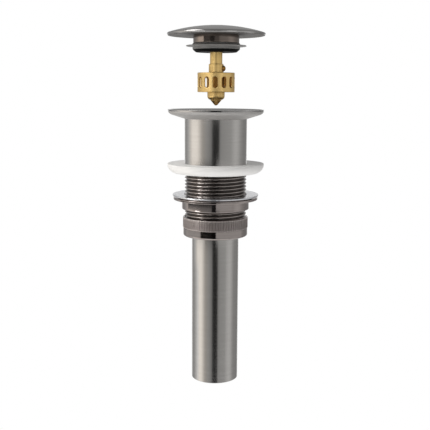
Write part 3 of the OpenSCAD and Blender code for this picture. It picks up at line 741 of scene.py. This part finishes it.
def unionNut():
    # ring nut: straight ribs round its upper band, a fine groove, and a smooth round-footed lower band
    outer, low, high = reach("union_nut")
    bandLow = high - knurl["band"]
    lipTop = low + knurl["lip"]
    smooth = outer - knurl["taper"]
    columns = knurl["ribs"] * knurl["samples"]
    corners = [(knurl["bore"], high, knurl["boreRound"]), (knurl["bore"], lipTop), (knurl["lipBore"], lipTop),
               (knurl["lipBore"], low, knurl["lipRound"]), (smooth, low, knurl["footRound"]),
               (smooth, bandLow - knurl["groove"], knurl["grooveEdge"]),
               (outer - knurl["grooveIn"], bandLow - knurl["grooveMiddle"], knurl["grooveBed"]),
               (outer, bandLow, knurl["grooveEdge"]), (outer, high, knurl["topRound"])]
    outline = softOutline(corners)[::-1]
    # extra rows up the ribbed band
    start = np.argmin(np.hypot(outline[:, 0] - outer, outline[:, 1] - bandLow))
    ribZ = np.linspace(bandLow + knurl["ribLow"], high - knurl["ribHigh"], knurl["rows"])
    ribRows = np.column_stack([np.full(knurl["rows"], outer), ribZ])
    outline = np.insert(outline, start + 2, ribRows, axis=0)
    turn = np.linspace(0, 2 * np.pi, columns, endpoint=False)
    r, z = outline[:, :1] + 0 * turn, outline[:, 1:] + 0 * turn
    # the ribs run out over the rounding above and the groove below
    runOut = np.clip((r - outer + knurl["topRound"]) / knurl["topRound"], 0, 1) * (z > bandLow - knurl["runOut"])
    # narrow notches between flat ribs
    notch = np.clip(1 - np.abs(np.sin(turn * knurl["ribs"] / 2)) / knurl["notch"], 0, 1)
    r = r - knurl["depth"] * runOut * notch
    points = np.stack([r * np.cos(turn), r * np.sin(turn), z], axis=-1)
    faces = gridFaces(len(outline), columns, True, True)
    ribbed = (outline[:, 1] > bandLow - knurl["skin"]) & (outline[:, 0] > outer - knurl["skin"])
    makePiece("unionNut", points.reshape(-1, 3), faces, [brightNickel, knurledNickel], "union_nut", ["union_nut"],
              np.repeat(ribbed, columns), knurl["sharp"])


tail = {"outside": 16.0, "neck": 16.3, "neckLow": -84.1, "neckStep": 0.3, "neckRound": 0.1, "wall": 1.0, "flare": 1.2,
        "flareRound": 0.2, "endRound": 0.3}


def tailPiece():
    # flared tube with a slightly thicker neck and rounded lower edge
    outer, low, high = reach("tailpiece")
    bore = tail["outside"] - tail["wall"]
    corners = [(bore, low, tail["endRound"]), (tail["outside"], low, tail["endRound"]),
               (tail["outside"], tail["neckLow"], tail["neckRound"]),
               (tail["neck"], tail["neckLow"] + tail["neckStep"], tail["neckRound"]),
               (tail["neck"], high - tail["flare"], tail["flareRound"]),
               (outer, high - tail["flare"], tail["flareRound"]), (outer, high, tail["flareRound"]),
               (bore, high, tail["flareRound"])]
    turnPiece("tailPiece", softOutline(corners), [brushedNickel], "tailpiece", ["tailpiece"],
              fineColumns)


drainBody()
basinGasket()
frictionWasher()
lockNut()
unionNut()
tailPiece()
print("drain: made")


# studio

studio = {"keyGlow": 5.8, "keyPlace": (-0.79, -0.32, 0.85), "keyAim": (0, 0, -0.03), "keySize": (0.52, 0.8),
          "lowGlow": 2.8, "lowPlace": (0, -0.25, -0.7), "lowAim": (0, -0.1, 0), "lowSize": (0.9, 0.45),
          "floorDrop": 0.55, "floorRadius": 1.0, "floorCorners": 96, "floorShare": 0.85, "floorFade": (0.4, 0.97),
          "paint": 0.9, "backHalf": 0.45, "backAway": 1.0, "backLow": -0.7, "backHigh": 0.1}
# brightness of the light tent by azimuth in degrees from the camera's side, left negative
tentGlow = [(-180, 0.35), (-150, 0.38), (-135, 0.42), (-118, 0.70), (-104, 1.0), (-96, 1.35), (-72, 1.35),
            (-62, 1.0), (-54, 0.64), (-46, 0.50), (-32, 0.44), (-14.5, 0.28), (-11.5, 0.02), (12, 0.02), (15.5, 0.41),
            (58, 0.49), (68, 0.62), (80, 0.70), (92, 0.62), (105, 0.45), (128, 0.32), (160, 0.30), (180, 0.35)]
# warm tint of the tent's left, brightness overhead and the rise of the direction over which it sets in;
# a ramp holds colours up to 1, so the tent is stored at half its brightness
tent = {"tint": (1.04, 0.99, 0.93), "tintFrom": -110, "tintTo": -45, "overhead": 0.35, "riseFrom": 0.3, "riseTo": 0.6,
        "full": 2}
brassLamps = {"away": 0.106, "height": 0.024, "aim": 0.022, "tall": 0.036}
# cards that only reflections show: two azimuths, lowest and highest point in metres, brightness
cards = {
    "sideCard": (-128, -58, -0.002, 0.05, 0.48),  # beside the brass
    "frontCard": (-58, 16, -0.002, 0.05, 0.55),  # before the brass, behind its lamps
    "headShade": (-62, -30, 0.0505, 0.07, 0.12),  # before the seal's carrier
    "headDark": (-30, -8, 0.0505, 0.07, 0.02),
    "headFront": (-8, 14, 0.0505, 0.07, 0.196),
    "lockDark": (-100, -12, -0.0805, -0.0752, 0.03),  # before the lock nut
    "lockGrey": (-100, -12, -0.0845, -0.0805, 0.28),
    "lockRight": (2, 55, -0.0845, -0.0752, 0.6),
    "unionLeft": (-110, -50, -0.1105, -0.094, 0.6),  # before the union nut
    "unionDark": (-50, 2, -0.1105, -0.098, 0.005),
    "unionRight": (2, 100, -0.1105, -0.094, 0.6),
    "threadUpper": (-53, -41, -0.0545, -0.0445, 5.0),  # beside the bare thread
    "threadLower": (-54, -40, -0.0728, -0.0675, 5.0),
}
# cards beside the tail: two azimuths, highest point and brightness
tailCards = [(-150, -118, -0.135, 0.40), (-118, -108, -0.135, 0.54), (-108, -97, -0.135, 0.74),
             (-97, -84, -0.135, 1.07), (53, 64, -0.1115, 0.63), (64, 76, -0.1115, 0.72), (76, 86, -0.1115, 0.67),
             (86, 97, -0.1115, 0.49), (97, 115, -0.1115, 0.37)]
cardSet = {"away": 0.15, "nearAway": 0.042, "near": ("threadUpper", "threadLower"), "tailLow": -0.245, "columns": 13}


def emissionFor(material, strength, fade=None):
    # a share of white to the camera and in reflections over white paint that keeps the shadow;
    # with a fade, the share rises to all white between two distances from the axis
    tree = material.node_tree
    tree.nodes.clear()
    out = tree.nodes.new("ShaderNodeOutputMaterial")
    seen = tree.nodes.new("ShaderNodeLightPath").outputs
    either = mathNode(tree, "MAXIMUM", seen["Is Camera Ray"], seen["Is Glossy Ray"])
    anySeen = mathNode(tree, "MAXIMUM", either, seen["Is Transmission Ray"])
    rise = rangeNode(tree, ringPlaces(tree)[1], *fade, strength) if fade else strength
    share = mathNode(tree, "MULTIPLY", anySeen, rise)
    paint = tree.nodes.new("ShaderNodeBsdfDiffuse")
    paint.inputs["Color"].default_value = (*[studio["paint"]] * 3, 1)
    glow = tree.nodes.new("ShaderNodeEmission")
    mix = tree.nodes.new("ShaderNodeMixShader")
    tree.links.new(share, mix.inputs["Fac"])
    tree.links.new(paint.outputs[0], mix.inputs[1])
    tree.links.new(glow.outputs[0], mix.inputs[2])
    tree.links.new(mix.outputs[0], out.inputs["Surface"])


def stageSheet(name, corners, material, faces=None):
    # sheet on the given corners, one face where no others are given
    mesh = bpy.data.meshes.new(name)
    mesh.from_pydata([tuple(c) for c in corners], [], faces or [tuple(range(len(corners)))])
    mesh.materials.append(material)
    sheet = bpy.data.objects.new(name, mesh)
    bpy.context.scene.collection.objects.link(sheet)
    return sheet


def softBox(name, place, target, width, height, glow, inGloss=True):
    # power of an area lamp for a given brightness = pi x area x glow
    lamp = bpy.data.lights.new(name, "AREA")
    lamp.shape = "RECTANGLE"
    lamp.size, lamp.size_y = width, height
    lamp.energy = math.pi * width * height * glow
    box = bpy.data.objects.new(name, lamp)
    bpy.context.scene.collection.objects.link(box)
    aim = Vector(target) - Vector(place)
    box.visible_camera = False
    box.visible_glossy = inGloss
    box.matrix_world = Matrix.Translation(place) @ aim.to_track_quat("-Z", "Y").to_matrix().to_4x4()


def tentWorld():
    # light tent: brightness by the azimuth of the direction, even overhead, and white to the camera
    world = bpy.data.worlds.new("tentWorld")
    bpy.context.scene.world = world
    world.use_nodes = True
    tree = world.node_tree
    tree.nodes.clear()
    toward = tree.nodes.new("ShaderNodeTexCoord")
    split = tree.nodes.new("ShaderNodeSeparateXYZ")
    tree.links.new(toward.outputs["Generated"], split.inputs[0])
    front = mathNode(tree, "MULTIPLY", split.outputs["Y"], -1)
    azimuth = mathNode(tree, "ARCTAN2", split.outputs["X"], front)
    ramp = tree.nodes.new("ShaderNodeValToRGB")
    stops = ramp.color_ramp.elements
    for i, (angle, glow) in enumerate(tentGlow):
        place = (angle + 180) / 360
        stop = stops.new(place) if 0 < i < len(tentGlow) - 1 else stops[0 if i == 0 else -1]
        stop.position = place
        tint = tent["tint"] if tent["tintFrom"] < angle < tent["tintTo"] else (1, 1, 1)
        stop.color = (*[glow / tent["full"] * c for c in tint], 1)
    tree.links.new(rangeNode(tree, azimuth, -math.pi, math.pi), ramp.inputs["Fac"])
    sky = tree.nodes.new("ShaderNodeMix")
    sky.data_type = "RGBA"
    sky.inputs[7].default_value = (*[tent["overhead"] / tent["full"]] * 3, 1)
    tree.links.new(rangeNode(tree, split.outputs["Z"], tent["riseFrom"], tent["riseTo"]), sky.inputs[0])
    tree.links.new(ramp.outputs["Color"], sky.inputs[6])
    around = tree.nodes.new("ShaderNodeBackground")
    around.inputs["Strength"].default_value = tent["full"]
    tree.links.new(sky.outputs[2], around.inputs["Color"])
    white = tree.nodes.new("ShaderNodeBackground")
    white.inputs["Color"].default_value = (1, 1, 1, 1)
    seen = tree.nodes.new("ShaderNodeLightPath")
    mix = tree.nodes.new("ShaderNodeMixShader")
    out = tree.nodes.new("ShaderNodeOutputWorld")
    tree.links.new(seen.outputs["Is Camera Ray"], mix.inputs["Fac"])
    tree.links.new(around.outputs[0], mix.inputs[1])
    tree.links.new(white.outputs[0], mix.inputs[2])
    tree.links.new(mix.outputs[0], out.inputs["Surface"])


def reflectCard(name, left, right, low, high, glow):
    # even card on an arc about the axis, between two azimuths and two heights
    paper = bpy.data.materials.new(name)
    paper.use_nodes = True
    paper.node_tree.nodes.clear()
    shine = paper.node_tree.nodes.new("ShaderNodeEmission")
    shine.inputs["Color"].default_value = (glow, glow, glow, 1)
    out = paper.node_tree.nodes.new("ShaderNodeOutputMaterial")
    paper.node_tree.links.new(shine.outputs[0], out.inputs["Surface"])
    count = cardSet["columns"]
    away = cardSet["nearAway"] if name in cardSet["near"] else cardSet["away"]
    around = np.radians(np.linspace(left, right, count))
    foot = np.column_stack([np.sin(around), -np.cos(around)]) * away
    corners = np.vstack([np.column_stack([foot, np.full(count, z)]) for z in (low, high)])
    sheet = stageSheet(name, corners, paper, gridFaces(2, count, False, False).tolist())
    sheet.visible_camera = False
    sheet.visible_diffuse = False
    sheet.visible_shadow = False


def brassLamp(name, azimuth, width, glow):
    # small lamp before the stopper's brass, at its height only
    a = math.radians(azimuth)
    place = (brassLamps["away"] * math.sin(a), -brassLamps["away"] * math.cos(a), brassLamps["height"])
    softBox(name, place, (0, 0, brassLamps["aim"]), width, brassLamps["tall"], glow)


def makeStudio():
    # round floor well below the part, backdrop behind it, lamps and cards
    tentWorld()
    floorPaint = bpy.data.materials.new("floorPaint")
    floorPaint.use_nodes = True
    emissionFor(floorPaint, studio["floorShare"], studio["floorFade"])
    backPaint = bpy.data.materials.new("backPaint")
    backPaint.use_nodes = True
    emissionFor(backPaint, 1.0)
    floorZ = cadBox[0][2] - studio["floorDrop"]
    ring = np.linspace(0, 2 * np.pi, studio["floorCorners"], endpoint=False)
    edge = np.column_stack([np.cos(ring), np.sin(ring)]) * studio["floorRadius"]
    stageSheet("floor", np.column_stack([edge, np.full(len(ring), floorZ)]), floorPaint)
    half, back, low, high = studio["backHalf"], studio["backAway"], studio["backLow"], studio["backHigh"]
    corners = [(-half, back, low), (half, back, low), (half, back, high), (-half, back, high)]
    stageSheet("backdrop", corners, backPaint)
    softBox("keyBox", studio["keyPlace"], studio["keyAim"], *studio["keySize"], studio["keyGlow"])
    softBox("lowBox", studio["lowPlace"], studio["lowAim"], *studio["lowSize"], studio["lowGlow"], False)
    brassLamp("frontLeft", azimuth=-36, width=0.05, glow=1.15)
    brassLamp("frontRight", azimuth=31, width=0.036, glow=0.8625)
    for name, places in cards.items():
        reflectCard(name, *places)
    for i, (left, right, top, glow) in enumerate(tailCards):
        reflectCard(f"tailCard{i}", left, right, cardSet["tailLow"], top, glow)
    bpy.context.scene.view_settings.view_transform = "Standard"
    print("studio: lit")


shot = {"aside": -0.00025, "away": 0.518, "height": 0.0142, "tilt": 9.22, "roll": 0.3, "lens": 64.13, "sensor": 36,
        "nearest": 0.01}


def makeCamera():
    # camera before the part, looking slightly down, its tilt and roll in degrees
    lens = bpy.data.cameras.new("shotCamera")
    lens.lens = shot["lens"]
    lens.sensor_width = shot["sensor"]
    lens.clip_start = shot["nearest"]
    camera = bpy.data.objects.new("shotCamera", lens)
    bpy.context.scene.collection.objects.link(camera)
    lean = Matrix.Rotation(math.radians(90 - shot["tilt"]), 4, "X")
    roll = Matrix.Rotation(math.radians(shot["roll"]), 4, "Z")
    camera.matrix_world = Matrix.Translation((shot["aside"], -shot["away"], shot["height"])) @ lean @ roll
    bpy.context.scene.camera = camera
    print("camera: placed")


makeStudio()
makeCamera()
